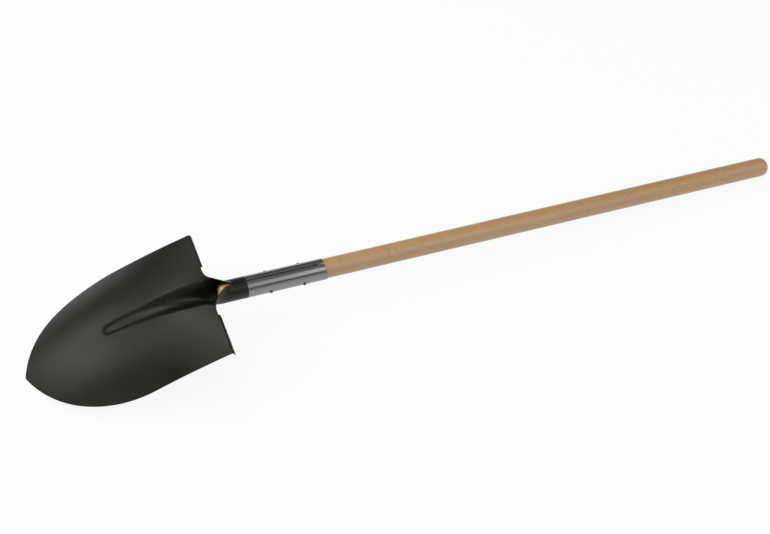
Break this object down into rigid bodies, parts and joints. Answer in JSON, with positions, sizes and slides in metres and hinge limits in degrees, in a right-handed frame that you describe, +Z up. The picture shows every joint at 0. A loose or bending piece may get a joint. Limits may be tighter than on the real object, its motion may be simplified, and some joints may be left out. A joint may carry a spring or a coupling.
{
  "type": "long-handled shovel",
  "caption": "Round-point digging shovel with a pressed open-back steel blade, rolled socket riveted to a long straight wooden handle.",
  "frame": {"origin": "on the ground below the middle of the tool's box, with the tool lying on its tip and butt, back up", "axes": "+X from the blade to the butt, +Z up out of the blade's back, +Y to the side"},
  "size_m": [1.437, 0.248, 0.1248],
  "materials": {
    "painted_steel": "satin black paint on the blade and neck, bare grey steel on the socket past the paint line",
    "handle_wood": "pale varnished ash with long grain",
    "rivet_steel": "dull dark steel"
  },
  "bodies": {
    "root": {"shovel_head": "painted_steel", "handle": "handle_wood", "lower_rivet": "rivet_steel", "upper_rivet": "rivet_steel"}
  },
  "joints": []
}
